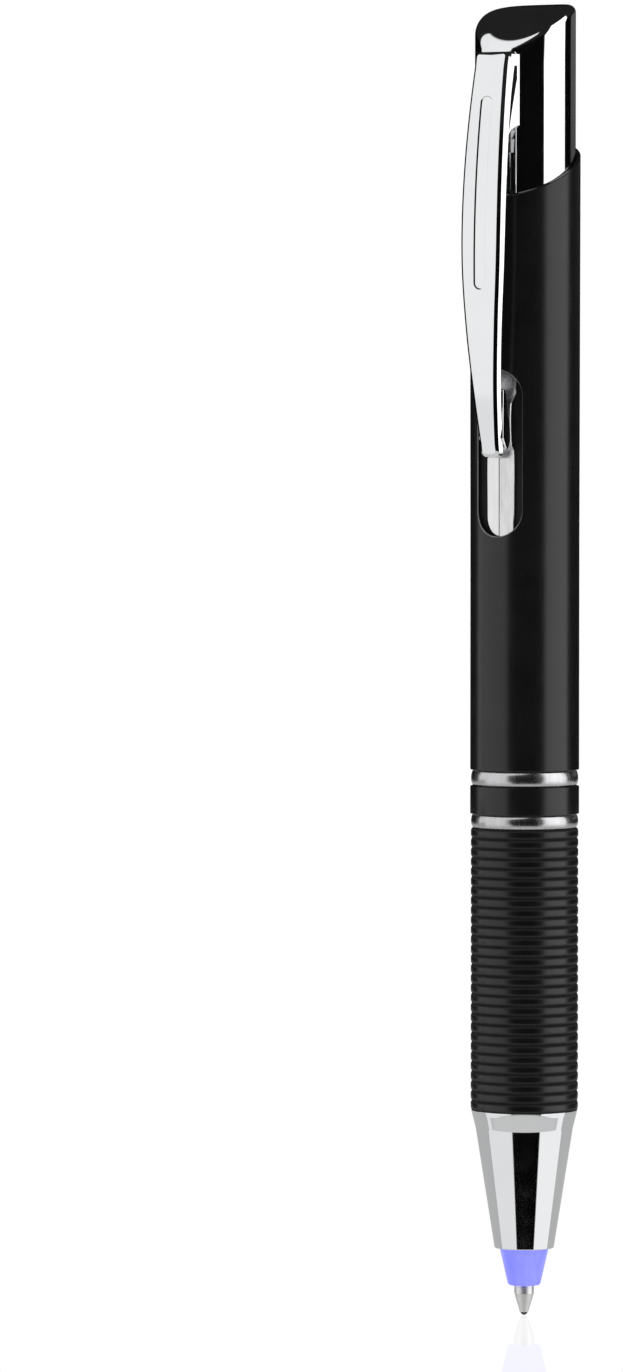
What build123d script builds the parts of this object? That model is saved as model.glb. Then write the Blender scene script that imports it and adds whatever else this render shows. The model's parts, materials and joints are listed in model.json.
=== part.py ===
from build123d import *
import math
import os

# Click ball pen with an ultraviolet light tip, for checking banknotes. Millimetres.
# +Z runs from the writing point to the clicker, with the origin at the writing point.
# The clip faces -Y. The pen is stored as it writes: clicker down, point out, light on.

# ---------------------------------------------------------------- heights along the pen
LIGHT_TIP_Z = 3.5
NOSE_Z = 7.25
BOARD_Z = 12.4
CORE_Z = 14.6
SEAT_Z = 18.0
SHOULDER_Z = 20.1
GRIP_Z = 22.1
EARS_Z = 30.4
LOWER_RING_Z = 52.5
BAND_Z = 53.7
UPPER_RING_Z = 57.1
CORE_SHOULDER_Z = 58.35
BARREL_Z = 58.37
SPIGOT_TOP_Z = 65.0
CARRIAGE_Z = 66.3
REFILL_TOP_Z = 67.0
CELLS_Z = 69.6
CARRIAGE_TOP_Z = 81.4
CAP_TOP_Z = 82.4
SKIRT_Z = 72.0
SLOT_Z = 83.4
SLOT_TOP_Z = 101.2
CAM_SHOULDER_Z = 103.0
SHELL_Z = 104.0
CAM_TOP_Z = 112.0
BOSS_Z = 124.0
ROOF_Z = 131.0
RIM_Z = 122.55
PLUNGER_TOP_Z = 140.3

# ---------------------------------------------------------------- radii
BALL_R = 0.4
TIP_R = 1.0
TUBE_R = 1.175
TUBE_BORE_R = 0.85
LIGHT_TIP_R = 1.63
LIGHT_TIP_TOP_R = 2.53
LIGHT_FLANGE_R = 2.85
BOARD_R = 3.15
NOSE_R = 3.1
NOSE_BORE_R = 3.7
SHOULDER_R = 5.15
GRIP_R = 5.74
RING_R = 5.72
BARREL_R = 5.82
BARREL_TOP_R = 5.9
BORE_R = 5.45
CORE_R = 4.9
CORE_BORE_R = 2.2
SEAT_HOLE_R = 1.45
SPIGOT_R = 4.65
CARRIAGE_R = 4.55
CELL_R = 3.95
CONTACT_R = 4.05
PLUNGER_R = 5.37
SHELL_BORE_R = 4.35
CAM_R = 4.2
CAM_BORE_R = 4.65
GROOVE_R = 3.65
LAND_R = 2.8
STEM_R = 2.72
STEM_TOP_R = 2.0

# ---------------------------------------------------------------- rotor and cam
CAM_TEETH = 4
RIB_HALF_W = 0.37
RIB_Z = 88.2
RIB_TOP_Z = 90.0
RIB_SLOPE = 1.5
LAND_HALF_W = 0.8
LAND_SLOPE = 1.95
LAND_GAP = 0.35
GROOVE_Z = 87.0
GROOVE_TOP_Z = 98.6
ROTOR_TOP_Z = 91.5
CROWN_TEETH = 8
CROWN_DEPTH = 0.45

# ---------------------------------------------------------------- small clearances and walls
RUN = 0.05
REST_GAP = 0.15
CELL_H = 3.6
LEAD_R = 0.25
LEAD_AT = 2.85

# ---------------------------------------------------------------- barrel, clip and tongue
RIM_SLOPE_DEG = 26.6
SLOT_W = 5.75
GRIP_RIBS = 29
GRIP_GROOVE = 0.2
TOP_DROP = 4.1
TOP_ROUND = 0.8
CLIP_ARC_R = 101.7
CLIP_CREST_Z = 112.6
CLIP_CREST_R = 9.2
CLIP_T = 1.45
CLIP_BEVEL = 0.3
CLIP_TOP_Z = 135.25
CLIP_TAIL_Z = 92.0
WEB_Z = 127.1
WEB_FOOT_Z = 124.6
WEB_W = 3.2
NUB_Z = 94.4
NUB_R = 5.4
NUB_ROUND = 2.6
PANEL_W = 1.33
PANEL_Z = (109.7, 130.2)
PANEL_DEPTH = 0.12
TONGUE_HALF_W = 1.72
TONGUE_BLOCK_HALF_W = 2.15
TONGUE_BACK = 4.7
TONGUE_RIDGE = 5.27
TONGUE_FALL = 0.174
CHANNEL_FLOOR = 4.6
TAB_Z = 109.0

os.makedirs("parts", exist_ok=True)


# ---------------------------------------------------------------- helpers
def tube(low, high, outer, inner=0.0):
    """Cylinder on the pen's axis between two heights, hollow when an inner radius is given."""
    place = Pos(0, 0, (low + high) / 2)
    body = place * Cylinder(outer, high - low)
    if inner:
        body -= place * Cylinder(inner, high - low + 1)
    return body


def turned(outline):
    """Solid of revolution from a closed outline of (radius, height)."""
    return revolve(Plane.XZ * make_face(outline), axis=Axis.Z)


def turned_points(*points):
    return turned(Polyline(*points, close=True))


def block(x, y, z):
    """Box between a pair of limits on each axis."""
    limits = (x, y, z)
    centre = [(low + high) / 2 for low, high in limits]
    size = [high - low for low, high in limits]
    return Pos(*centre) * Box(*size)


def around(shape, count, start_deg=0.0):
    """Copies of a shape spaced evenly about the pen's axis."""
    return [Rot(0, 0, start_deg + i * 360 / count) * shape for i in range(count)]


def facing_front(face, near, far):
    """Prism of a face drawn in (x, z), from y = -near to y = -far."""
    return Pos(0, -near, 0) * extrude(Plane.XZ * face, far - near)


def facing_side(face, half_width):
    """Prism of a face drawn in (y, z), the same either side of the middle plane."""
    return extrude(Plane.YZ * face, half_width, both=True)


def upright_slot(width, low, high):
    """Slot outline in (x, z) with round ends at two heights."""
    return Pos(0, (low + high) / 2) * SlotCenterToCenter(high - low - width, width, rotation=90)


def coil(low, high, turns, radius, wire_r, cone_deg=0.0):
    """Round wire wound between two heights, which are those of the wire's centre."""
    path = Helix((high - low) / turns, high - low, radius, center=(0, 0, low), cone_angle=cone_deg)
    return sweep(Plane(origin=path @ 0, z_dir=path % 0) * Circle(wire_r), path=path)


# ---------------------------------------------------------------- refill
def writing_ball():
    return Pos(0, 0, BALL_R) * Sphere(BALL_R)


def refill_tip():
    """Turned point: ball seat, cone and barrel, with a stem pressed into the ink tube."""
    neck = Polyline((0, 0.34), (0.45, 0.34), (0.57, 0.8), (0.76, 1.42), (TIP_R, 2.3), (TIP_R, 10.4),
                    (TUBE_R, 10.4), (TUBE_R, 10.9), (TUBE_BORE_R, 10.9), (TUBE_BORE_R, 13.5), (0, 13.5),
                    close=True)
    seat = Pos(0, 0, BALL_R) * Sphere(BALL_R + 0.03)
    ink_way = tube(0.7, 14.0, 0.25)
    return turned(neck) - seat - ink_way


def ink_tube():
    """Metal ink tube with a pair of crimped ears that the return spring pushes on."""
    ears = block((-0.3, 0.3), (-1.85, 1.85), (EARS_Z, EARS_Z + 2.6))
    return tube(10.9, REFILL_TOP_Z, TUBE_R, TUBE_BORE_R) + (ears - tube(EARS_Z, EARS_Z + 3, TUBE_R - RUN))


def return_spring():
    """Compression spring between the seat in the grip core and the ears on the ink tube."""
    wire_r = 0.17
    return coil(SEAT_Z + 0.25 + wire_r, EARS_Z - wire_r, 10, 1.75, wire_r)


# ---------------------------------------------------------------- battery carriage, pushed with the refill
def battery_sleeve():
    """Cup that holds the cells, with a boss under its floor that takes the end of the ink tube."""
    cup = tube(CARRIAGE_Z, CARRIAGE_TOP_Z, CARRIAGE_R, CELL_R + RUN)
    floor = tube(CARRIAGE_Z, REFILL_TOP_Z, CARRIAGE_R)
    boss = tube(CARRIAGE_Z - 2.9, CARRIAGE_Z, CORE_BORE_R - 0.1)
    socket = tube(CARRIAGE_Z - 4, REFILL_TOP_Z + 1, TUBE_R)
    window = block((3.0, 6.0), (-1.6, 1.6), (CELLS_Z + 1, CARRIAGE_TOP_Z - 2))
    strip_groove = block((-0.5, 0.5), (4.3, 6.0), (CARRIAGE_Z - 1, CARRIAGE_TOP_Z + 1))
    return cup + floor + boss - socket - window - strip_groove


def button_cell(index):
    """Stepped button cell, with its smaller face down."""
    low = CELLS_Z + index * CELL_H
    high = low + CELL_H
    return turned_points((0, low), (3.2, low), (3.35, low + 0.5), (CELL_R - 0.1, low + 0.6),
                         (CELL_R, low + 0.8), (CELL_R, high - 0.15), (CELL_R - 0.15, high), (0, high))


def battery_spring():
    """Conical spring from the end of the ink tube up to the lowest cell."""
    wire_r = 0.12
    return coil(REFILL_TOP_Z + wire_r, CELLS_Z - wire_r, 4, 1.02, wire_r, cone_deg=35)


def contact_strip():
    """Folded strip from the cap to a finger that slides inside the contact ring."""
    back = block((-0.5, 0.5), (4.3, 4.45), (CARRIAGE_Z, CARRIAGE_TOP_Z))
    foot = block((-0.5, 0.5), (3.5, 4.45), (CARRIAGE_Z - 0.15, CARRIAGE_Z))
    finger = block((-0.5, 0.5), (3.5, 3.65), (CARRIAGE_Z - 2.1, CARRIAGE_Z))
    return back + foot + (finger - block((-1, 1), (3, 4), (CARRIAGE_Z, CARRIAGE_Z + 1)))


def battery_cap():
    """Cap over the top cell, slotted for a coin, which the rotor pushes on."""
    plug = tube(CELLS_Z + 3 * CELL_H, CARRIAGE_TOP_Z, CELL_R)
    flange = tube(CARRIAGE_TOP_Z, CAP_TOP_Z, CARRIAGE_R)
    return plug + flange - block((-5, 5), (-0.4, 0.4), (CAP_TOP_Z - 0.35, CAP_TOP_Z + 1))


# ---------------------------------------------------------------- front section
def light_tip():
    """Clear violet light guide round the writing point, with a flange held in the nose."""
    lip = ThreePointArc((1.06, 3.24), (1.42, 3.24), (LIGHT_TIP_R, LIGHT_TIP_Z))
    rest = Polyline((LIGHT_TIP_R, LIGHT_TIP_Z), (LIGHT_TIP_TOP_R, 7.0), (2.56, 7.3), (2.56, 8.25),
                    (LIGHT_FLANGE_R, 8.25), (LIGHT_FLANGE_R, 11.2), (1.5, 11.2), (1.5, 8.6),
                    (1.06, 8.1), (1.06, 3.24))
    return turned(lip + rest)


def led_board():
    return tube(BOARD_Z, BOARD_Z + 1, BOARD_R, SEAT_HOLE_R)


def uv_leds():
    """Two ultraviolet lamps under the board, each a flat body with a small dome."""
    body = block((1.75, 2.65), (-0.8, 0.8), (BOARD_Z - 0.5, BOARD_Z))
    dome = Pos(2.2, 0, BOARD_Z - 0.5) * Sphere(0.38)
    lamp = body + (dome - block((1, 3), (-1, 1), (BOARD_Z - 0.4, BOARD_Z + 1)))
    return Compound(children=around(lamp, 2))


def board_resistor():
    top = BOARD_Z + 1
    return block((-0.8, 0.8), (1.75, 2.55), (top, top + 0.45))


def lead_wires():
    """Long lead to the contact ring and short lead to the spring seat."""
    bottom = BOARD_Z + 1
    ring_lead = Pos(LEAD_AT, 0, 0) * tube(bottom, SPIGOT_TOP_Z - 2.1, LEAD_R)
    seat_lead = Pos(-1.85, 0, 0) * tube(bottom, SEAT_Z, LEAD_R)
    return Compound(children=[ring_lead, seat_lead])


def spring_seat():
    return tube(SEAT_Z, SEAT_Z + 0.25, CORE_BORE_R, SEAT_HOLE_R)


def contact_ring():
    return tube(SPIGOT_TOP_Z - 2.1, SPIGOT_TOP_Z, CONTACT_R, CONTACT_R - 0.3)


def nose_cone():
    """Chromed nose: straight cone, a fine step, and a rounded shoulder up to the grip."""
    step_r = SHOULDER_R + 0.05
    shoulder = ThreePointArc((step_r, SHOULDER_Z), (5.52, 21.1), (5.67, GRIP_Z))
    rest = Polyline((5.67, GRIP_Z), (NOSE_BORE_R, GRIP_Z), (NOSE_BORE_R, BOARD_Z + 2), (BOARD_R, BOARD_Z + 2),
                    (BOARD_R, 11.2), (LIGHT_FLANGE_R, 11.2), (LIGHT_FLANGE_R, 8.25), (2.62, 8.25),
                    (2.62, NOSE_Z + 0.1), (2.72, NOSE_Z), (NOSE_R - 0.12, NOSE_Z), (NOSE_R, NOSE_Z + 0.12),
                    (SHOULDER_R, SHOULDER_Z - 0.1), (step_r, SHOULDER_Z))
    return turned(shoulder + rest)


def grip_core():
    """Inner tube of the front half, with a threaded spigot that the rear barrel screws on."""
    body = tube(CORE_Z, GRIP_Z, NOSE_BORE_R) + tube(GRIP_Z, CORE_SHOULDER_Z, CORE_R)
    body += tube(CORE_SHOULDER_Z, SPIGOT_TOP_Z, SPIGOT_R)
    body -= tube(CORE_Z - 1, SEAT_Z - 1.6, 2.9)
    body -= tube(CORE_Z - 1, SEAT_Z + 1, SEAT_HOLE_R)
    body -= tube(SEAT_Z, SPIGOT_TOP_Z + 1, CORE_BORE_R)
    body -= tube(SPIGOT_TOP_Z - 2.1, SPIGOT_TOP_Z + 1, CONTACT_R)
    body -= Pos(LEAD_AT, 0, 0) * tube(CORE_Z - 1, SPIGOT_TOP_Z, LEAD_R + RUN)
    body -= Pos(-1.85, 0, 0) * tube(CORE_Z - 1, SEAT_Z, LEAD_R + RUN)
    pitch = 0.8
    for turn in range(5):
        root = CORE_SHOULDER_Z + 1.2 + turn * pitch
        outer = SPIGOT_R + 0.1
        body -= turned_points((SPIGOT_R - 0.28, root), (outer, root - 0.3), (outer, root + 0.3))
    return body


def grip_sleeve():
    """Rubber sleeve with low round ribs."""
    pitch = (LOWER_RING_Z - GRIP_Z) / GRIP_RIBS
    low_r = GRIP_R - GRIP_GROOVE
    outline = Polyline((low_r, LOWER_RING_Z), (CORE_R, LOWER_RING_Z), (CORE_R, GRIP_Z), (low_r, GRIP_Z))
    for rib in range(GRIP_RIBS):
        z = GRIP_Z + rib * pitch
        outline += ThreePointArc((low_r, z), (GRIP_R, z + pitch / 2), (low_r, z + pitch))
    return turned(outline)


def ring(low, high, radius):
    """Trim ring over the grip core, with a small bevel on both outer edges."""
    bevel = 0.06
    return turned_points((CORE_R, low), (radius - bevel, low), (radius, low + bevel),
                         (radius, high - bevel), (radius - bevel, high), (CORE_R, high))


# ---------------------------------------------------------------- rear section
def rear_barrel():
    """Thin metal tube with a slanted rim and a slot for the tongue, a hair wider above the slot's foot."""
    low = (BARREL_R, SLOT_Z - 0.1)
    high = (BARREL_TOP_R, RIM_Z + 6)
    body = turned_points((BORE_R, BARREL_Z), (BARREL_R, BARREL_Z), low, high, (BORE_R, RIM_Z + 6))
    above = Pos(0, 0, RIM_Z) * Rot(RIM_SLOPE_DEG, 0, 0) * (Pos(0, 0, 10) * Box(30, 30, 20))
    slot = facing_front(upright_slot(SLOT_W, SLOT_Z, SLOT_TOP_Z), 1, 8)
    return body - above - slot


def barrel_bush():
    """Threaded bush in the mouth of the rear barrel."""
    return tube(BARREL_Z + 0.1, 66.0, BORE_R, SPIGOT_R + RUN)


def cam_sleeve():
    """Sleeve fixed in the barrel: it guides the battery carriage, the rotor and the stem."""
    body = tube(SKIRT_Z, CAM_SHOULDER_Z, BORE_R) + tube(CAM_SHOULDER_Z, CAM_TOP_Z, CAM_R)
    body -= tube(SKIRT_Z - 1, GROOVE_Z, CAM_BORE_R)
    body -= tube(GROOVE_Z - 1, GROOVE_TOP_Z, GROOVE_R)
    body -= tube(GROOVE_TOP_Z - 1, CAM_TOP_Z + 1, LAND_R)
    body -= block((-SLOT_W / 2 - 0.05, SLOT_W / 2 + 0.05), (-8, -CHANNEL_FLOOR), (SLOT_Z - 1, CAM_TOP_Z))
    low_side = RIB_TOP_Z + LAND_GAP + LAND_SLOPE * (RIB_HALF_W - LAND_HALF_W)
    high_side = RIB_TOP_Z + LAND_GAP + LAND_SLOPE * (RIB_HALF_W + LAND_HALF_W)
    outline = Polyline((-LAND_HALF_W, low_side), (LAND_HALF_W, high_side),
                       (LAND_HALF_W, GROOVE_TOP_Z), (-LAND_HALF_W, GROOVE_TOP_Z), close=True)
    land = Pos(LAND_R, 0, 0) * extrude(Plane.YZ * make_face(outline), GROOVE_R + 0.1 - LAND_R)
    for copy in around(land, CAM_TEETH):
        body += copy
    return body


# ---------------------------------------------------------------- rotor and plunger
def crown_cuts(height, point_up):
    """V notches round the end of a stem at one height, opening up or down."""
    tip = height - CROWN_DEPTH if point_up else height + CROWN_DEPTH
    half = 0.75
    outline = Polyline((0, tip), (half, height), (-half, height), close=True)
    notch = Pos(0.8, 0, 0) * extrude(Plane.YZ * make_face(outline), 3)
    return around(notch, CROWN_TEETH)


def rotor_cam():
    """Rotor with four slant-topped ribs, which turn from the cam's lands into its grooves."""
    body = tube(CAP_TOP_Z + REST_GAP, 86.5, 2.4) + tube(86.5, ROTOR_TOP_Z, LAND_R - 0.1)
    high_side = RIB_TOP_Z + RIB_SLOPE * 2 * RIB_HALF_W
    outline = Polyline((-RIB_HALF_W, RIB_Z), (RIB_HALF_W, RIB_Z), (RIB_HALF_W, high_side),
                       (-RIB_HALF_W, RIB_TOP_Z), close=True)
    rib = Pos(2.4, 0, 0) * extrude(Plane.YZ * make_face(outline), GROOVE_R - 0.1 - 2.4)
    for copy in around(rib, CAM_TEETH):
        body += copy
    for notch in crown_cuts(ROTOR_TOP_Z, True):
        body -= notch
    return body


def plunger_stem():
    """Stem pressed into the clicker, with guide ribs in the cam's grooves and a toothed end."""
    bottom = ROTOR_TOP_Z + REST_GAP
    body = tube(bottom, BOSS_Z, STEM_R) + tube(BOSS_Z, ROOF_Z, STEM_TOP_R)
    rib = block((2.4, GROOVE_R - 0.1), (-0.4, 0.4), (bottom + 0.8, bottom + 2.0))
    for copy in around(rib, CAM_TEETH, start_deg=45):
        body += copy
    for notch in crown_cuts(bottom, False):
        body -= notch
    return body


def slanted_top():
    """Everything under the clicker's curved top, which is level at the back and falls to the clip."""
    across = 2 * PLUNGER_R
    radius = (across ** 2 + TOP_DROP ** 2) / (2 * TOP_DROP)
    centre_z = PLUNGER_TOP_Z - radius
    roll = Pos(0, PLUNGER_R, centre_z) * Rot(0, 90, 0) * Cylinder(radius, 20)
    return roll + block((-10, 10), (-12, 12), (SHELL_Z - 5, centre_z))


def plunger_cap():
    """Chromed clicker: a deep shell with a curved slanting top and a boss for the stem."""
    body = tube(SHELL_Z, PLUNGER_TOP_Z + 1, PLUNGER_R) & slanted_top()
    rim = body.edges().filter_by(lambda edge: edge.center().Z > PLUNGER_TOP_Z - TOP_DROP - 2)
    body = fillet(rim, TOP_ROUND)
    body -= tube(SHELL_Z - 1, ROOF_Z, SHELL_BORE_R)
    body += tube(BOSS_Z, ROOF_Z, 3.5)
    body -= tube(BOSS_Z - 1, ROOF_Z, STEM_TOP_R)
    return body - tongue_tab()


def tongue_tab():
    return block((-1.2, 1.2), (-5.0, -TONGUE_BACK - 0.02), (SHELL_Z, TAB_Z))


def clip_tongue():
    """Ridged chromed strip under the clicker, which shows in the barrel's slot."""
    wide = TONGUE_BLOCK_HALF_W
    edge = TONGUE_RIDGE - wide * TONGUE_FALL
    section = Polyline((-wide, -TONGUE_BACK), (wide, -TONGUE_BACK), (wide, -edge), (0, -TONGUE_RIDGE),
                       (-wide, -edge), close=True)
    bar = Pos(0, 0, SLOT_Z) * extrude(make_face(section), SHELL_Z - SLOT_Z)
    low = SLOT_Z + 0.1
    narrow = TONGUE_HALF_W
    arch = ThreePointArc((-narrow, low + 2.5), (0, low), (narrow, low + 2.5))
    sides = Polyline((narrow, low + 2.5), (narrow, 93.0), (wide, 98.0), (wide, SHELL_Z), (-wide, SHELL_Z),
                     (-wide, 98.0), (-narrow, 93.0), (-narrow, low + 2.5))
    return (bar & facing_front(make_face(arch + sides), 4, 7)) + tongue_tab()


# ---------------------------------------------------------------- clip
def clip_disc(inset):
    """Face in (y, z) inside the clip's bowed outer line, moved in by an inset."""
    return Pos(CLIP_ARC_R - CLIP_CREST_R, CLIP_CREST_Z) * Circle(CLIP_ARC_R - inset)


def clip_plan():
    """Front view of the clip in (x, z): widest at the middle, with a round tail."""
    tail_r = 1.12
    side = Spline((tail_r, CLIP_TAIL_Z + tail_r), (1.5, 98.9), (1.98, 105.5), (2.38, 113.0), (2.36, 122.0),
                  (1.97, CLIP_TOP_Z))
    top = Line((1.97, CLIP_TOP_Z), (-1.97, CLIP_TOP_Z))
    tail = ThreePointArc((-tail_r, CLIP_TAIL_Z + tail_r), (0, CLIP_TAIL_Z), (tail_r, CLIP_TAIL_Z + tail_r))
    return make_face(side + top + mirror(side, about=Plane.YZ) + tail)


def clip_web():
    """Root that joins the strip to the clicker, with a hollow curve where the gap opens."""
    curve = ThreePointArc((-PLUNGER_R, WEB_Z), (-6.25, WEB_Z - 0.75), (-7.0, WEB_FOOT_Z))
    rest = Polyline((-7.0, WEB_FOOT_Z), (-7.6, WEB_FOOT_Z), (-6.6, CLIP_TOP_Z - 0.5), (-6.0, CLIP_TOP_Z),
                    (-5.0, CLIP_TOP_Z), (-5.0, WEB_Z), (-PLUNGER_R, WEB_Z))
    return facing_side(make_face(curve + rest), WEB_W / 2)


def clip():
    """Bowed strip clip with a nub near its tail and a shallow panel on its face."""
    nub = Pos(-NUB_R - NUB_ROUND, NUB_Z) * Circle(NUB_ROUND)
    section = (clip_disc(0) - clip_disc(CLIP_T)) + (nub & clip_disc(CLIP_T / 2))
    body = facing_side(section, 4) & facing_front(clip_plan(), 4, 11)
    face_edges = body.edges().filter_by(on_clip_face)
    body = chamfer(face_edges, CLIP_BEVEL)
    panel = facing_front(upright_slot(PANEL_W, *PANEL_Z), 6, 11)
    body -= panel - facing_side(clip_disc(PANEL_DEPTH), 4)
    return body + clip_web() - tube(WEB_Z - 4, CLIP_TOP_Z + 1, PLUNGER_R + RUN)


def on_clip_face(edge):
    """True for an edge that lies on the clip's outer face."""
    middle = edge @ 0.5
    reach = math.hypot(middle.Y - (CLIP_ARC_R - CLIP_CREST_R), middle.Z - CLIP_CREST_Z)
    return abs(reach - CLIP_ARC_R) < 0.01


PIECES = {
    "writing_ball": writing_ball(),
    "refill_tip": refill_tip(),
    "ink_tube": ink_tube(),
    "return_spring": return_spring(),
    "battery_sleeve": battery_sleeve(),
    "button_cell_1": button_cell(0),
    "button_cell_2": button_cell(1),
    "button_cell_3": button_cell(2),
    "battery_spring": battery_spring(),
    "contact_strip": contact_strip(),
    "battery_cap": battery_cap(),
    "light_tip": light_tip(),
    "led_board": led_board(),
    "uv_leds": uv_leds(),
    "board_resistor": board_resistor(),
    "lead_wires": lead_wires(),
    "spring_seat": spring_seat(),
    "contact_ring": contact_ring(),
    "nose_cone": nose_cone(),
    "grip_core": grip_core(),
    "grip_sleeve": grip_sleeve(),
    "lower_ring": ring(LOWER_RING_Z, BAND_Z, RING_R),
    "centre_band": ring(BAND_Z, UPPER_RING_Z, BARREL_R),
    "upper_ring": ring(UPPER_RING_Z, CORE_SHOULDER_Z, RING_R),
    "rear_barrel": rear_barrel(),
    "barrel_bush": barrel_bush(),
    "cam_sleeve": cam_sleeve(),
    "rotor_cam": rotor_cam(),
    "plunger_stem": plunger_stem(),
    "plunger_cap": plunger_cap(),
    "clip_tongue": clip_tongue(),
    "clip": clip(),
}

for name, piece in PIECES.items():
    export_step(piece, f"parts/{name}.step")
    print(f"{name:16s} {len(piece.solids())} solid  {piece.volume:9.2f} mm3")
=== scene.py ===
import bmesh
import bpy
import json
import math
from mathutils import Matrix, Vector


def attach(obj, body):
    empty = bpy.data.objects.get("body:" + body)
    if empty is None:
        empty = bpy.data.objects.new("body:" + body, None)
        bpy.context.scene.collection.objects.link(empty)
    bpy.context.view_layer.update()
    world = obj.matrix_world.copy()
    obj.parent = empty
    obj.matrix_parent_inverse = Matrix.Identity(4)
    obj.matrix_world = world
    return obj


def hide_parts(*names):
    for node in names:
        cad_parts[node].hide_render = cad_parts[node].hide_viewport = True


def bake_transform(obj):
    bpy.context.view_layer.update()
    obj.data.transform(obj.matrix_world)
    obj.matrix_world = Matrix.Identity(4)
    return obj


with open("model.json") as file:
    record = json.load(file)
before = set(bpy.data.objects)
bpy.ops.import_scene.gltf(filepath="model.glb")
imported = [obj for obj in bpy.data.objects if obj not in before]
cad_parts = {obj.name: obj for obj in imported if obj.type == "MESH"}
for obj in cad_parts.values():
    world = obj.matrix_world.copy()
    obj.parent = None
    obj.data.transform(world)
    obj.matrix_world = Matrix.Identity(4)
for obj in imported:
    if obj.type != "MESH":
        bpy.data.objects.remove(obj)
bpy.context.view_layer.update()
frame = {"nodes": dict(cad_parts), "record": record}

# Lengths here are millimetres on the pen. Every finished mesh is turned into metres.
MM = 0.001
AROUND = 240

# heights up the pen from the writing point
LIGHT_TIP_Z = 3.24
NOSE_Z = 7.25
FLANGE_Z = 8.25
FLANGE_TOP_Z = 11.2
NOSE_STEP_Z = 14.4
SHOULDER_Z = 20.15
SHOULDER_BEND_Z = 21.6
GRIP_Z = 22.1
LOWER_RING_Z = 52.33
BAND_Z = 53.87
UPPER_RING_Z = 56.82
BARREL_Z = 58.58
SLOT_Z = 83.55
SLOT_TOP_Z = 101.2
SHELL_Z = 104.0
RIM_Z = 122.55
BOSS_Z = 124.0
PLUNGER_TOP_Z = 140.3

# writing point
POINT_R = 1.04
POINT_COLLAR_R = 1.175
POINT_STEM_R = 0.85
POINT_CONE_Z = 2.42
POINT_COLLAR_Z = 10.4
POINT_STEM_Z = 10.9
POINT_TOP_Z = 13.5

# light tip, with a pocket behind its bore, and nose
LIGHT_TAPER_Z = 7.1
LIGHT_POCKET_R = 1.5
LIGHT_POCKET_Z = 8.6
LIGHT_BORE_R = 1.09
LIGHT_TIP_R = 1.71
LIGHT_R = 2.6
FLANGE_R = 2.85
NOSE_MOUTH_R = 2.62
NOSE_R = 3.165
SHOULDER_R = 5.2
SHOULDER_BEND_R = 5.57
NOSE_TOP_R = 5.68
BOARD_BORE_R = 3.15
NOSE_BORE_R = 3.7

# grip and rings
CORE_R = 4.9
GRIP_R = 5.74
GRIP_RIBS = 29
RIB_PITCH = (LOWER_RING_Z - GRIP_Z) / GRIP_RIBS
RIB_DEPTH = 0.15
RIB_SQUARENESS = 4
RING_R = 5.72
RING_BULGE = 0.4
RING_TURN_DEG = 68

# barrel and its slot
BARREL_R = 5.82
BARREL_TOP_R = 5.9
BORE_R = 5.45
RIM_SLOPE_DEG = 26.6
BARREL_EDGE = 0.09
SLOT_W = 5.48
SLOT_FLARE = 0.11

# clicker, whose curved top has a rim that is rounder towards the clip
PLUNGER_R = 5.37
SHELL_BORE_R = 4.35
TOP_DROP = 4.1
TOP_ROUND_BACK = 0.8
TOP_ROUND_FRONT = 1.5

# tongue: half-widths at its foot, behind the nub and at its top
TONGUE_FOOT_Z = SLOT_Z + 0.05
TONGUE_TOP_Z = 103.95
TONGUE_HALF_W = 1.64
TONGUE_WAIST = 1.35
TONGUE_TOP_W = 1.87
TONGUE_ARCH = 2.1
TONGUE_BACK = 4.7
TONGUE_RIDGE = 5.27
TONGUE_FALL = 0.174
TONGUE_GROOVE = 0.05

# clip's strip, which bows outwards and thins towards its tail, with its (height, half-width) marks
CLIP_ARC_R = 101.7
CLIP_CREST_Z = 112.6
CLIP_CREST_R = 9.33
CLIP_T_TAIL = 0.9
CLIP_T_TOP = 1.25
CLIP_THIN_Z = 104.0
CLIP_THICK_Z = 130.0
CLIP_BEVEL_W = 0.34
CLIP_BEVEL = 0.28
CLIP_DRAFT_DEG = 12
CLIP_TOP_Z = 134.85
CLIP_TOP_CORNER = 0.2
CLIP_TAIL_Z = 92.0
CLIP_TAIL_R = 1.12
CLIP_TAIL_ROUND = 0.65
CLIP_BACK_EDGE = 0.1
CLIP_WIDTHS = ((93.12, 1.12), (98.9, 1.5), (105.5, 1.98), (113.0, 2.38), (122.0, 2.36), (135.25, 1.97))

# clip's panel, root and nub, and where it bends as it springs open
PANEL_W = 1.45
PANEL_LOW_Z = 109.7
PANEL_HIGH_Z = 130.2
PANEL_DEPTH = 0.13
ROOT_HALF_W = 2.12
ROOT_TAPER = 0.2
ROOT_LOW_Z = 127.1
ROOT_GROOVE_LOW_Z = 126.2
ROOT_GROOVE_HIGH_Z = 133.4
ROOT_GROOVE_HALF_W = 0.4
ROOT_GROOVE_BEHIND = 0.45
ROOT_GROOVE_TIP_X = 1.85
ROOT_GROOVE_MOUTH_X = 2.25
NUB_HALF_W = 1.5
NUB_EDGE = 0.12
BEND_TOP_Z = 127.0
BEND_LOW_Z = 107.0

# camera: degrees round from the clip's side, metres away and up, degrees turned down and left, and the
# lens in millimetres
CAMERA_AZIMUTH = 31.4
CAMERA_AWAY = 0.8224
CAMERA_Z = 0.101
CAMERA_DOWN = 2.335
CAMERA_LEFT = 1.588
CAMERA_LENS = 202.0

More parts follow.
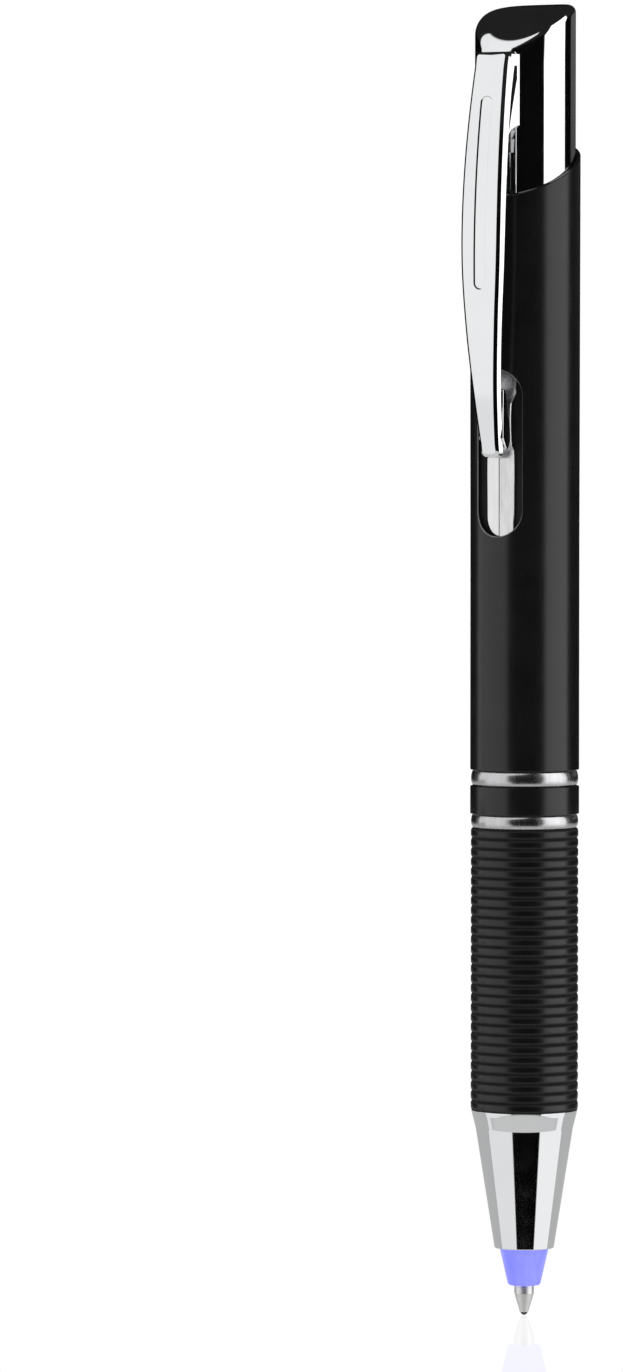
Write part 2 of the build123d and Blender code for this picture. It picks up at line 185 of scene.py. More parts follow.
# Soft light cards that gleaming surfaces see, in degrees round from the camera's side and up from level:
# (left, right, low, high, strength, softness, rise of the low edge for each degree to the right).
# In order: the two side panels, their lower parts, the panels behind, the low one all round, the sloping
# one that lights the clicker's rim, a faint one behind, and a faint one overhead.
CARDS = [
    (-97, -37, -15, 45, 0.93, 1.5, 0.0),
    (43.5, 102, -15, 45, 1.5, 1.5, 0.0),
    (-98, -30, -27, -13, 0.82, 1.2, 0.0),
    (39, 104, -27, -13, 0.95, 1.2, 0.0),
    (104, 153, -88, -9.5, 0.48, 1.5, 0.0),
    (151, 184, -88, -5.5, 0.48, 1.5, 0.0),
    (-153, -98, -88, -9.5, 0.48, 1.5, 0.0),
    (-184, -151, -88, -5.5, 0.48, 1.5, 0.0),
    (-184, 184, -95, -26.5, 0.6, 1.2, 0.0),
    (-118, 8, -12, 48, 0.9, 2.0, 0.42),
    (128, 165, 1.2, 12, 0.1, 2.0, 0.0),
    (-184, 184, 16, 95, 0.014, 2.0, 0.0),
]
STUDIO_DARK = 0.0015
FLOOR_HALF_M = 3.0
FLOOR_MIRROR = 0.12


# ---------------------------------------------------------------- outlines
def rounded(corners, steps=5):
    """Closed outline from (radius, height, round): each corner becomes an arc of about that round."""
    points = []
    for i, (across, up, size) in enumerate(corners):
        here = Vector((across, up))
        back = Vector(corners[i - 1][:2]) - here
        ahead = Vector(corners[(i + 1) % len(corners)][:2]) - here
        if not size:
            points.append(here)
            continue
        cut = size / math.tan(back.angle(ahead) / 2)
        cut = min(cut, 0.48 * back.length, 0.48 * ahead.length)
        start = here + back.normalized() * cut
        end = here + ahead.normalized() * cut
        for step in range(steps + 1):
            t = step / steps
            points.append(start * (1 - t) ** 2 + here * 2 * t * (1 - t) + end * t * t)
    return points


def width_at(z, marks):
    """Smooth width through (height, width) marks, by Catmull-Rom between them."""
    marks = list(marks)
    if z <= marks[0][0]:
        return marks[0][1]
    for i in range(len(marks) - 1):
        low, high = marks[i], marks[i + 1]
        if z <= high[0]:
            before = marks[max(i - 1, 0)]
            after = marks[min(i + 2, len(marks) - 1)]
            span = high[0] - low[0]
            t = (z - low[0]) / span
            slope_low = (high[1] - before[1]) / (high[0] - before[0]) * span
            slope_high = (after[1] - low[1]) / (after[0] - low[0]) * span
            return ((2 * t ** 3 - 3 * t ** 2 + 1) * low[1] + (t ** 3 - 2 * t ** 2 + t) * slope_low
                    + (3 * t ** 2 - 2 * t ** 3) * high[1] + (t ** 3 - t ** 2) * slope_high)
    return marks[-1][1]


# ---------------------------------------------------------------- meshes
def solid(name, verts, faces):
    """Closed mesh object, still in millimetres, with doubles merged and faces turned outwards."""
    mesh = bpy.data.meshes.new(name)
    mesh.from_pydata([tuple(v) for v in verts], [], faces)
    work = bmesh.new()
    work.from_mesh(mesh)
    bmesh.ops.remove_doubles(work, verts=work.verts, dist=0.0005)
    bmesh.ops.dissolve_degenerate(work, edges=work.edges, dist=0.0002)
    bmesh.ops.recalc_face_normals(work, faces=work.faces)
    work.to_mesh(mesh)
    work.free()
    piece = bpy.data.objects.new(name, mesh)
    bpy.context.scene.collection.objects.link(piece)
    return piece


def lathe(name, outline, around=AROUND):
    """Solid of revolution about the pen's axis from a closed outline of (radius, height)."""
    count = len(outline)
    verts = []
    faces = []
    for turn in range(around):
        angle = 2 * math.pi * turn / around
        verts += [(r * math.cos(angle), r * math.sin(angle), z) for r, z in outline]
        here = turn * count
        there = (turn + 1) % around * count
        for i in range(count):
            j = (i + 1) % count
            faces.append((here + i, here + j, there + j, there + i))
    return solid(name, verts, faces)


def prism(name, outline, half_width):
    """Prism of a closed outline of (y, z) with its sides at x = half_width(y) either way."""
    count = len(outline)
    verts = [(side * half_width(y), y, z) for side in (-1, 1) for y, z in outline]
    faces = [tuple(range(count)), tuple(range(count, 2 * count))]
    for i in range(count):
        j = (i + 1) % count
        faces.append((i, j, count + j, count + i))
    return solid(name, verts, faces)


def spine(reach):
    """Inset that goes all the way in to the middle line."""
    return reach


def plate(name, border, rows):
    """Solid over a border in (x, z), from its front face round its edge to its back face.

    Each border mark is (x, z, middle), and the faces run from it in to height middle on the middle line.
    Each row is (inset, surface): how far in from the border it lies, as a number or worked out from the
    whole way in, and its y = surface(x, z).
    """
    verts = []
    for x, z, middle in border:
        inward = Vector((-x, middle - z))
        reach = inward.length
        for inset, surface in rows:
            depth = inset(reach) if callable(inset) else inset
            share = min(depth / reach, 1.0) if reach else 0.0
            px = x + inward.x * share
            pz = z + inward.y * share
            verts.append((px, surface(px, pz), pz))
    count = len(rows)
    faces = []
    for j in range(len(border)):
        here = j * count
        there = (j + 1) % len(border) * count
        for i in range(count - 1):
            faces.append((here + i, here + i + 1, there + i + 1, there + i))
    return solid(name, verts, faces)


def applied(piece):
    """The piece with its modifiers applied."""
    bpy.context.view_layer.update()
    graph = bpy.context.evaluated_depsgraph_get()
    mesh = bpy.data.meshes.new_from_object(piece.evaluated_get(graph))
    piece.modifiers.clear()
    piece.data = mesh
    return piece


def combine(piece, tool, operation="DIFFERENCE"):
    """The piece cut by a tool or joined to it. The tool is used up."""
    step = piece.modifiers.new("combine", "BOOLEAN")
    step.object = tool
    step.operation = operation
    step.solver = "EXACT"
    applied(piece)
    bpy.data.objects.remove(tool)
    return piece


def softened(piece, width, angle_deg=35, steps=3):
    """The piece with every edge sharper than an angle rounded."""
    step = piece.modifiers.new("soften", "BEVEL")
    step.width = width
    step.segments = steps
    step.limit_method = "ANGLE"
    step.angle_limit = math.radians(angle_deg)
    step.use_clamp_overlap = True
    return applied(piece)


def place(piece, material, body, nodes, sharp_deg=32, bend=None):
    """Turns a finished piece into metres, shades it, and sets it on its body, or with a bend given bakes
    its place into its mesh.
    """
    piece.data.transform(Matrix.Scale(MM, 4))
    piece.data.polygons.foreach_set("use_smooth", [True] * len(piece.data.polygons))
    piece.data.set_sharp_from_angle(angle=math.radians(sharp_deg))
    if not piece.data.materials:
        piece.data.materials.append(material)
    step = piece.modifiers.new("even_shading", "WEIGHTED_NORMAL")
    step.keep_sharp = True
    step.weight = 90
    applied(piece)
    if bend:
        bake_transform(piece)
    else:
        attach(piece, body)
    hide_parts(*nodes)
    return piece


# ---------------------------------------------------------------- materials
class Surface:
    """A principled material with helpers for its procedural detail, in object coordinates."""

    def __init__(self, name, colour, metallic=0.0, roughness=0.4, **sockets):
        self.material = bpy.data.materials.new(name)
        self.material.use_nodes = True
        self.nodes = self.material.node_tree.nodes
        self.links = self.material.node_tree.links
        self.shader = self.nodes["Principled BSDF"]
        self.shader.inputs["Base Color"].default_value = (*colour, 1)
        self.shader.inputs["Metallic"].default_value = metallic
        self.shader.inputs["Roughness"].default_value = roughness
        for key, value in sockets.items():
            self.shader.inputs[key.replace("_", " ")].default_value = value
        self.place = self.nodes.new("ShaderNodeTexCoord").outputs["Object"]
        self.bump = None

    def noise(self, size, stretch=(1, 1, 1), detail=3.0):
        """Noise whose lumps are about `size` millimetres, stretched along the axes."""
        mapping = self.nodes.new("ShaderNodeMapping")
        mapping.inputs["Scale"].default_value = [1 / s for s in stretch]
        self.links.new(self.place, mapping.inputs["Vector"])
        node = self.nodes.new("ShaderNodeTexNoise")
        node.inputs["Scale"].default_value = 1 / (size * MM)
        node.inputs["Detail"].default_value = detail
        self.links.new(mapping.outputs["Vector"], node.inputs["Vector"])
        return node.outputs["Fac"]

    def rings(self, pitch, distortion=0.6):
        """Fine turning marks round the pen's axis."""
        node = self.nodes.new("ShaderNodeTexWave")
        node.bands_direction = "Z"
        node.inputs["Scale"].default_value = 1 / (pitch * MM) / 20
        node.inputs["Distortion"].default_value = distortion
        node.inputs["Detail"].default_value = 3
        self.links.new(self.place, node.inputs["Vector"])
        return node.outputs["Fac"]

    def valleys(self, start, pitch):
        """Distance in metres from the nearest of the level valleys that repeat up the pen."""
        split = self.nodes.new("ShaderNodeSeparateXYZ")
        self.links.new(self.place, split.inputs["Vector"])
        shift = self.nodes.new("ShaderNodeMath")
        shift.operation = "SUBTRACT"
        shift.inputs[1].default_value = start * MM
        self.links.new(split.outputs["Z"], shift.inputs[0])
        fold = self.nodes.new("ShaderNodeMath")
        fold.operation = "PINGPONG"
        fold.inputs[1].default_value = pitch * MM / 2
        self.links.new(shift.outputs["Value"], fold.inputs[0])
        return fold.outputs["Value"]

    def ranged(self, value, low, high, start=0.25, end=0.75):
        """The value, which runs from start to end, stretched to run from low to high."""
        node = self.nodes.new("ShaderNodeMapRange")
        node.inputs["From Min"].default_value = start
        node.inputs["From Max"].default_value = end
        node.inputs["To Min"].default_value = low
        node.inputs["To Max"].default_value = high
        self.links.new(value, node.inputs["Value"])
        return node.outputs["Result"]

    def vary_roughness(self, value, low, high):
        """Roughness that goes from low to high with a value."""
        self.links.new(self.ranged(value, low, high), self.shader.inputs["Roughness"])
        return self

    def blended(self, value, first, second):
        """Colour that goes from the first to the second with a value."""
        node = self.nodes.new("ShaderNodeMix")
        node.data_type = "RGBA"
        node.inputs["A"].default_value = (*first, 1)
        node.inputs["B"].default_value = (*second, 1)
        self.links.new(self.ranged(value, 0, 1), node.inputs["Factor"])
        return node.outputs["Result"]

    def vary_colour(self, value, first, second):
        """Base colour that goes from the first to the second with a value."""
        self.links.new(self.blended(value, first, second), self.shader.inputs["Base Color"])
        return self

    def add_bump(self, value, depth, strength=1.0):
        """Relief of a depth in millimetres, laid over what is already there."""
        node = self.nodes.new("ShaderNodeBump")
        node.inputs["Strength"].default_value = strength
        node.inputs["Distance"].default_value = depth * MM
        self.links.new(value, node.inputs["Height"])
        if self.bump:
            self.links.new(self.bump, node.inputs["Normal"])
        self.bump = node.outputs["Normal"]
        self.links.new(self.bump, self.shader.inputs["Normal"])
        return self


def chrome():
    """Bright plate with the faintest unevenness."""
    look = Surface("bright_chrome", (0.87, 0.88, 0.89), 1.0, 0.05)
    look.vary_roughness(look.noise(2.5), 0.035, 0.075)
    look.vary_colour(look.noise(6.0), (0.85, 0.86, 0.875), (0.89, 0.895, 0.9))
    look.add_bump(look.noise(0.9), 0.0012, 0.25)
    return look.material


def black_tube():
    """Satin black of the barrel and the band."""
    look = Surface("satin_black_tube", (0.005, 0.005, 0.0055), 0.0, 0.25)
    look.vary_colour(look.noise(3.0), (0.004, 0.004, 0.0045), (0.0065, 0.0065, 0.007))
    look.vary_roughness(look.noise(0.5, (1, 1, 6)), 0.22, 0.28)
    look.add_bump(look.noise(0.12, (1, 1, 3)), 0.001, 0.2)
    return look.material


def slot_edge_highlight():
    """Edge of the slot, coloured grey as a painted highlight along its rounded edge."""
    look = Surface("slot_edge_painted_highlight", (0.17, 0.17, 0.175), 0.0, 0.4)
    look.vary_colour(look.noise(0.6), (0.14, 0.14, 0.145), (0.21, 0.21, 0.215))
    look.vary_roughness(look.noise(0.3), 0.35, 0.5)
    look.add_bump(look.noise(0.1), 0.001, 0.2)
    return look.material


def satin_chrome(name, dull, bright):
    """Turned rather than polished chrome."""
    look = Surface(name, (dull, dull, dull), 1.0, 0.22)
    grain = look.noise(0.5, (1, 1, 8))
    look.vary_colour(grain, (dull, dull, dull + 0.01), (bright, bright, bright + 0.01))
    look.vary_roughness(look.noise(0.3, (1, 1, 6)), 0.18, 0.3)
    look.add_bump(look.rings(0.05), 0.0012, 0.3)
    return look.material


def grip_rubber():
    """Black rubber, smoother on the ribs than in the valleys."""
    look = Surface("ribbed_rubber", (0.0035, 0.0035, 0.004), 0.0, 0.3)
    look.vary_colour(look.noise(1.5), (0.0025, 0.0025, 0.003), (0.0045, 0.0045, 0.005))
    depth = look.valleys(GRIP_Z, RIB_PITCH)
    roughness = look.ranged(depth, 0.9, 0.28, 0.1 * MM, 0.3 * MM)
    look.links.new(roughness, look.shader.inputs["Roughness"])
    look.add_bump(look.noise(0.08), 0.002, 0.25)
    return look.material


def lit_plastic():
    """Plastic lit from inside, its glow paler in stripes running up it as a painted highlight."""
    look = Surface("violet_light_guide", (0.08, 0.09, 0.5), 0.0, 0.22)
    # the paler stripes in the glow are a painted highlight
    highlight_streaks = look.noise(1.3, (1, 1, 6), 1.0)
    glow = look.blended(highlight_streaks, (0.12, 0.135, 1.0), (0.25, 0.26, 1.0))
    look.links.new(glow, look.shader.inputs["Emission Color"])
    look.shader.inputs["Emission Strength"].default_value = 0.9
    look.shader.inputs["Subsurface Weight"].default_value = 0.25
    look.shader.inputs["Subsurface Radius"].default_value = (0.001, 0.001, 0.002)
    look.vary_colour(look.noise(2.0), (0.08, 0.09, 0.5), (0.12, 0.13, 0.6))
    look.vary_roughness(look.noise(0.7), 0.2, 0.3)
    look.add_bump(look.noise(0.3), 0.001, 0.2)
    return look.material


def turned_metal(name, first, second, low, high, pitch=0.05):
    """Metal with fine turning marks, between two colours and two roughnesses."""
    look = Surface(name, first, 1.0, low)
    look.vary_colour(look.noise(0.8), first, second)
    look.vary_roughness(look.rings(pitch), low, high)
    look.add_bump(look.rings(pitch), 0.0015, 0.35)
    return look.material


def moulded(name, first, second, low, high, size=0.4, bump=0.004, gloss=0.5):
    """Moulded plastic, between two colours and two roughnesses."""
    look = Surface(name, first, 0.0, low, Specular_IOR_Level=gloss)
    look.vary_colour(look.noise(size * 4), first, second)
    look.vary_roughness(look.noise(size * 2), low, high)
    look.add_bump(look.noise(size * 0.3), bump, 0.4)
    return look.material


def circuit_board():
    """Green board with paler tracks."""
    look = Surface("circuit_board", (0.04, 0.22, 0.09), 0.0, 0.35)
    look.vary_colour(look.noise(0.35, (1, 3, 1), 0.5), (0.03, 0.19, 0.075), (0.07, 0.32, 0.14))
    look.vary_roughness(look.noise(0.5), 0.3, 0.45)
    look.add_bump(look.noise(0.3, (1, 3, 1), 0.5), 0.01, 0.5)
    return look.material


# looks of single pieces, then the look for each of the record's material slots
RING_LOOK = satin_chrome("ring_chrome", 0.55, 0.66)
TONGUE_LOOK = satin_chrome("tongue_chrome", 0.78, 0.88)
# the slot edge's grey is a painted highlight
SLOT_EDGE_HIGHLIGHT_LOOK = slot_edge_highlight()
LOOKS = {
    "chrome": chrome(),
    "black_anodised": black_tube(),
    "grip_rubber": grip_rubber(),
    "violet_clear_plastic": lit_plastic(),
    "nickel_silver": turned_metal("nickel_silver", (0.82, 0.82, 0.81), (0.88, 0.88, 0.87), 0.42, 0.5),
    "ball_carbide": turned_metal("carbide", (0.05, 0.05, 0.055), (0.08, 0.08, 0.09), 0.1, 0.2, 0.02),
    "cell_steel": turned_metal("cell_steel", (0.74, 0.74, 0.73), (0.8, 0.8, 0.79), 0.18, 0.3),
    "spring_steel": turned_metal("spring_steel", (0.58, 0.59, 0.6), (0.68, 0.69, 0.7), 0.2, 0.32),
    "brass": turned_metal("brass", (0.78, 0.6, 0.28), (0.84, 0.68, 0.36), 0.16, 0.28),
    "black_plastic": moulded("black_plastic", (0.007, 0.007, 0.008), (0.012, 0.012, 0.013), 0.4, 0.55,
                             gloss=0.12),
    "white_plastic": moulded("white_acetal", (0.78, 0.77, 0.73), (0.84, 0.83, 0.8), 0.35, 0.5),
    "board": circuit_board(),
    "lamp_plastic": moulded("lamp_body", (0.7, 0.68, 0.92), (0.8, 0.78, 0.98), 0.08, 0.16),
    "resistor": moulded("resistor", (0.04, 0.04, 0.042), (0.07, 0.07, 0.07), 0.4, 0.5),
    "red_lead": moulded("red_lead", (0.55, 0.04, 0.03), (0.65, 0.06, 0.045), 0.35, 0.45),
}


# ---------------------------------------------------------------- front half
def nose():
    """Chromed cone with a soft shoulder under the grip, bored for the light tip, board and grip core."""
    corners = [(NOSE_MOUTH_R, FLANGE_Z, 0), (NOSE_MOUTH_R, NOSE_Z, 0.06), (NOSE_R, NOSE_Z, 0.14),
               (SHOULDER_R, SHOULDER_Z, 2.5), (SHOULDER_BEND_R, SHOULDER_BEND_Z, 1.0),
               (NOSE_TOP_R, GRIP_Z, 0.03), (NOSE_BORE_R, GRIP_Z, 0), (NOSE_BORE_R, NOSE_STEP_Z, 0),
               (BOARD_BORE_R, NOSE_STEP_Z, 0), (BOARD_BORE_R, FLANGE_TOP_Z, 0),
               (FLANGE_R, FLANGE_TOP_Z, 0), (FLANGE_R, FLANGE_Z, 0)]
    piece = lathe("nose_shell", rounded(corners, 8))
    return place(piece, LOOKS["chrome"], "front_section", ["nose_cone"])


def light_guide():
    """Tapered light tip with a flange that sits inside the nose."""
    corners = [(LIGHT_BORE_R, LIGHT_TIP_Z, 0.06), (LIGHT_TIP_R, LIGHT_TIP_Z, 0.3),
               (LIGHT_R, LIGHT_TAPER_Z, 0.1), (LIGHT_R, LIGHT_TAPER_Z + 0.2, 0), (LIGHT_R, FLANGE_Z, 0),
               (FLANGE_R, FLANGE_Z, 0), (FLANGE_R, FLANGE_TOP_Z, 0), (LIGHT_POCKET_R, FLANGE_TOP_Z, 0),
               (LIGHT_POCKET_R, LIGHT_POCKET_Z, 0), (LIGHT_BORE_R, LIGHT_POCKET_Z - 0.5, 0)]
    piece = lathe("light_guide", rounded(corners))
    slot = "violet_clear_plastic"
    return place(piece, LOOKS[slot], "front_section", ["light_tip"])


def refill_point():
    """Turned point: a seat for the ball, a cone, a plain neck, a collar, and a stem in the ink tube."""
    corners = [(0, 0.75, 0), (0.3, 0.6, 0), (0.4, 0.32, 0.02), (0.46, 0.34, 0.04), (0.57, 0.8, 0),
               (0.78, 1.42, 0.2), (1.03, 2.3, 0.05), (POINT_R, POINT_CONE_Z, 0.05),
               (POINT_R, POINT_COLLAR_Z, 0), (POINT_COLLAR_R, POINT_COLLAR_Z, 0.03),
               (POINT_COLLAR_R, POINT_STEM_Z, 0), (POINT_STEM_R, POINT_STEM_Z, 0),
               (POINT_STEM_R, POINT_TOP_Z, 0), (0, POINT_TOP_Z, 0)]
    piece = lathe("refill_point", rounded(corners), 120)
    return place(piece, LOOKS["nickel_silver"], "refill_carriage", ["refill_tip"])


def grip():
    """Rubber sleeve: broad ribs with narrow valleys between them."""
    steps = 16
    valley_r = GRIP_R - RIB_DEPTH
    outline = [(CORE_R, GRIP_Z)]
    for rib in range(GRIP_RIBS):
        for step in range(steps):
            t = step / steps
            swell = 1 - abs(2 * t - 1) ** RIB_SQUARENESS
            outline.append((valley_r + RIB_DEPTH * swell, GRIP_Z + (rib + t) * RIB_PITCH))
    outline += [(valley_r, LOWER_RING_Z), (CORE_R, LOWER_RING_Z)]
    piece = lathe("rubber_grip", outline)
    return place(piece, LOOKS["grip_rubber"], "front_section", ["grip_sleeve"], 80)


def ring(name, node, low, high):
    """Ring with a bulging outer face."""
    steepest = math.radians(RING_TURN_DEG)
    middle = (low + high) / 2
    half = (high - low) / 2 / math.sin(steepest)
    turns = [steepest * (i / 16 - 1) for i in range(33)]
    inner = RING_R - RING_BULGE
    face = [(inner + RING_BULGE * math.cos(turn), middle + half * math.sin(turn)) for turn in turns]
    piece = lathe(name, [(CORE_R, low)] + face + [(CORE_R, high)])
    return place(piece, RING_LOOK, "front_section", [node])


def band():
    """Plain black band between the rings."""
    corners = [(CORE_R, BAND_Z, 0), (BARREL_R, BAND_Z, 0.07), (BARREL_R, UPPER_RING_Z, 0.07),
               (CORE_R, UPPER_RING_Z, 0)]
    piece = lathe("black_band", rounded(corners))
    return place(piece, LOOKS["black_anodised"], "front_section", ["centre_band"])


# ---------------------------------------------------------------- rear half
def stadium(half_width, low, high, steps=24):
    """Border of a round-ended slot in (x, z, middle), from the left of its foot right round."""
    border = []
    for end, centre in ((0, low + half_width), (1, high - half_width)):
        for step in range(steps + 1):
            angle = math.pi * (step / steps + end)
            border.append((-half_width * math.cos(angle), centre - half_width * math.sin(angle), centre))
    return border


def slot_cutter():
    """Solid that cuts the slot, flared at the barrel's surface; the flare takes the second material, the
    slot edge's painted highlight.
    """
    widest = SLOT_W / 2 + SLOT_FLARE
    clear = 1
    back = -1

    def mouth(x, z):
        return -math.sqrt(BARREL_R ** 2 - min(abs(x), widest) ** 2)

    rows = [(spine, lambda x, z: mouth(x, z) - clear),
            (-clear, lambda x, z: mouth(x, z) - clear),
            (0, lambda x, z: mouth(x, z) + SLOT_FLARE),
            (0, lambda x, z: back),
            (spine, lambda x, z: back)]
    piece = plate("slot_cutter", stadium(SLOT_W / 2, SLOT_Z, SLOT_TOP_Z), rows)
    for face in piece.data.polygons:
        steepness = math.hypot(face.normal.x, face.normal.z)
        flare = face.center.y < -BARREL_R / 2 and 0.3 < steepness < 0.95
        face.material_index = int(flare)
    return piece


def rear_tube():
    """Thin black tube with a slanted rim and a slot."""
    top = RIM_Z + 6
    clear = 9
    corners = [(BORE_R, BARREL_Z, 0), (BARREL_R, BARREL_Z, 0.08), (BARREL_R, SLOT_Z, 0),
               (BARREL_TOP_R, top, 0), (BORE_R, top, 0)]
    piece = lathe("rear_tube", rounded(corners))
    rise = clear * math.tan(math.radians(RIM_SLOPE_DEG))
    outline = [(-clear, RIM_Z - rise), (clear, RIM_Z + rise), (clear, top + clear), (-clear, top + clear)]
    combine(piece, prism("above_rim", outline, lambda y: clear))
    piece.data.materials.append(LOOKS["black_anodised"])
    # second material: grey painted highlight on the slot's flared edge
    piece.data.materials.append(SLOT_EDGE_HIGHLIGHT_LOOK)
    softened(piece, BARREL_EDGE)
    combine(piece, slot_cutter())
    return place(piece, LOOKS["black_anodised"], "rear_section", ["rear_barrel"])


def quarter(radius, steps=16):
    """Offsets (across, down) along a quarter circle that ends level with its centre."""
    turns = (math.pi / 2 * i / steps for i in range(steps + 1))
    return [(radius * math.sin(turn), radius * math.cos(turn)) for turn in turns]


def tongue():
    """Ridged bright strip in the slot, with a fine groove down its ridge and a waist behind the nub.

    Its foot is arched on the left and cut off square on the right.
    """
    widths = ((86, TONGUE_HALF_W), (92.6, TONGUE_HALF_W), (93.3, TONGUE_WAIST), (97.8, TONGUE_WAIST),
              (98.6, TONGUE_TOP_W), (104, TONGUE_TOP_W))
    arch_top = TONGUE_FOOT_Z + TONGUE_ARCH
    squash = TONGUE_ARCH / TONGUE_HALF_W
    curve = [(-across, arch_top - down * squash) for across, down in quarter(TONGUE_HALF_W)]
    sides = [arch_top + 0.5 * i for i in range(1, 37)]
    left = [(x, z, z) for x, z in curve]
    left += [(-width_at(z, widths), z, z) for z in sides]
    left += [(-TONGUE_TOP_W, TONGUE_TOP_Z, TONGUE_TOP_Z)]
    right = [(TONGUE_HALF_W, z, z) for x, z in curve]
    right += [(width_at(z, widths), z, z) for z in sides]
    right += [(TONGUE_TOP_W, TONGUE_TOP_Z, TONGUE_TOP_Z)]

    def face(x, z):
        return -TONGUE_RIDGE + TONGUE_FALL * abs(x)

    rows = [(spine, lambda x, z: face(x, z) + TONGUE_GROOVE),
            (lambda reach: reach - min(TONGUE_GROOVE, reach), face),
            (0.06, face),
            (0, lambda x, z: face(x, z) + 0.08),
            (0, lambda x, z: -TONGUE_BACK),
            (spine, lambda x, z: -TONGUE_BACK)]
    piece = plate("slot_tongue", left[::-1] + right, rows)
    return place(piece, TONGUE_LOOK, "plunger", ["clip_tongue"], 8)


def clicker_top(x, y):
    """Height of the clicker's top, level at the back and curving down towards the clip."""
    radius = (4 * PLUNGER_R ** 2 + TOP_DROP ** 2) / (2 * TOP_DROP)
    return PLUNGER_TOP_Z - radius + math.sqrt(radius ** 2 - (y - PLUNGER_R) ** 2)


def clicker_outline(out):
    """Points of the clicker's shell one way out from its axis: up its wall and in over its top."""
    wall_steps = 12
    roll_steps = 14
    top_steps = 16
    towards_clip = ((1 - out.y) / 2) ** 2
    size = TOP_ROUND_BACK + (TOP_ROUND_FRONT - TOP_ROUND_BACK) * towards_clip
    rise = clicker_top(0, PLUNGER_R * out.y) - size - SHELL_Z
    wall = [(SHELL_BORE_R, SHELL_Z), (PLUNGER_R - 0.06, SHELL_Z), (PLUNGER_R, SHELL_Z + 0.1)]
    wall += [(PLUNGER_R, SHELL_Z + rise * i / wall_steps) for i in range(1, wall_steps + 1)]
    points = [(r * out.x, r * out.y, z) for r, z in wall]
    insets = [size * (1 - math.cos(math.pi / 2 * i / roll_steps)) for i in range(1, roll_steps + 1)]
    insets += [size + (PLUNGER_R - size) * i / top_steps for i in range(1, top_steps + 1)]
    for inset in insets:
        left = max(size - inset, 0)
        drop = size - math.sqrt(size ** 2 - left ** 2)
        x = (PLUNGER_R - inset) * out.x
        y = (PLUNGER_R - inset) * out.y
        points.append((x, y, clicker_top(x, y) - drop))
    return points + [(0, 0, BOSS_Z), (SHELL_BORE_R * out.x, SHELL_BORE_R * out.y, BOSS_Z)]


def clicker():
    """Chromed clicker: a shell whose wall rolls over into the curved top."""
    verts = []
    for turn in range(AROUND):
        angle = 2 * math.pi * turn / AROUND
        outline = clicker_outline(Vector((math.cos(angle), math.sin(angle))))
        verts += outline
    count = len(outline)
    on_axis = count - 3
    faces = []
    for turn in range(AROUND):
        here = turn * count
        there = (turn + 1) % AROUND * count
        for i in range(count):
            j = (i + 1) % count
            if i != on_axis:
                faces.append((here + i, here + j, there + j, there + i))
    piece = solid("clicker", verts, faces)
    return place(piece, LOOKS["chrome"], "plunger", ["plunger_cap"])


def clip_line(z):
    """y of the clip's bowed face at a height."""
    return CLIP_ARC_R - CLIP_CREST_R - math.sqrt(CLIP_ARC_R ** 2 - (z - CLIP_CREST_Z) ** 2)


def clip_back(z):
    """y of the clip's back face at a height: the strip thins towards its tail."""
    share = min(max((z - CLIP_THIN_Z) / (CLIP_THICK_Z - CLIP_THIN_Z), 0), 1)
    return clip_line(z) + CLIP_T_TAIL + (CLIP_T_TOP - CLIP_T_TAIL) * share


def clip_strip():
    """Bowed strip with a rounded tail, bevelled front edges and sides that widen towards its back."""
    tail = CLIP_TAIL_Z + CLIP_TAIL_R
    flat = CLIP_TAIL_R - CLIP_TAIL_ROUND
    foot = CLIP_TAIL_Z + CLIP_TAIL_ROUND
    half_top = width_at(CLIP_TOP_Z, CLIP_WIDTHS)
    top_middle = CLIP_TOP_Z - half_top
    corner_z = CLIP_TOP_Z - CLIP_TOP_CORNER
    steps = 150
    heights = [tail + (corner_z - tail) * i / steps for i in range(1, steps + 1)]
    right = [(0, CLIP_TAIL_Z, tail)]
    right += [(flat + across, foot - down, tail) for across, down in quarter(CLIP_TAIL_ROUND)]
    right += [(width_at(z, CLIP_WIDTHS), z, min(z, top_middle)) for z in heights]
    right += [(half_top - CLIP_TOP_CORNER, CLIP_TOP_Z, top_middle), (0, CLIP_TOP_Z, top_middle)]
    border = right + [(-x, z, middle) for x, z, middle in reversed(right[1:-1])]
    outset = -(CLIP_T_TAIL - CLIP_BEVEL) * math.tan(math.radians(CLIP_DRAFT_DEG))
    rows = [(spine, lambda x, z: clip_line(z)),
            (CLIP_BEVEL_W, lambda x, z: clip_line(z)),
            (0, lambda x, z: clip_line(z) + CLIP_BEVEL),
            (outset, lambda x, z: clip_back(z) - CLIP_BACK_EDGE),
            (outset + CLIP_BACK_EDGE, lambda x, z: clip_back(z)),
            (spine, lambda x, z: clip_back(z))]
    return plate("clip_strip", border, rows)


def panel_cutter():
    """Long round-ended solid with sloping sides, whose back follows the clip's bow."""
    half = PANEL_W / 2
    low = PANEL_LOW_Z + half
    high = PANEL_HIGH_Z - half
    clear = 0.5
    steps = 70
    heights = [low + (high - low) * i / steps for i in range(1, steps)]
    right = [(across, low - down, low) for across, down in quarter(half)]
    right += [(half, z, z) for z in heights]
    right += [(across, high + down, high) for across, down in reversed(quarter(half))]
    border = right + [(-x, z, middle) for x, z, middle in reversed(right[1:-1])]
    rows = [(spine, lambda x, z: clip_line(z) - clear),
            (-clear, lambda x, z: clip_line(z) - clear),
            (PANEL_DEPTH, lambda x, z: clip_line(z) + PANEL_DEPTH),
            (spine, lambda x, z: clip_line(z) + PANEL_DEPTH)]
    return plate("panel_cutter", border, rows)


def nub():
    """Wider bump on the back of the clip's tail, which dips towards the slot."""
    outline = [(-6.3, 92.85), (-6.0, 92.75), (-5.7, 93.05), (-5.5, 93.6), (-5.42, 94.2), (-5.42, 94.9),
               (-5.52, 95.6), (-5.74, 96.2), (-6.0, 96.7), (-6.15, 98.4), (-6.45, 99.2), (-6.95, 99.2),
               (-7.0, 94)]
    return softened(prism("clip_nub", outline, lambda y: NUB_HALF_W), NUB_EDGE)


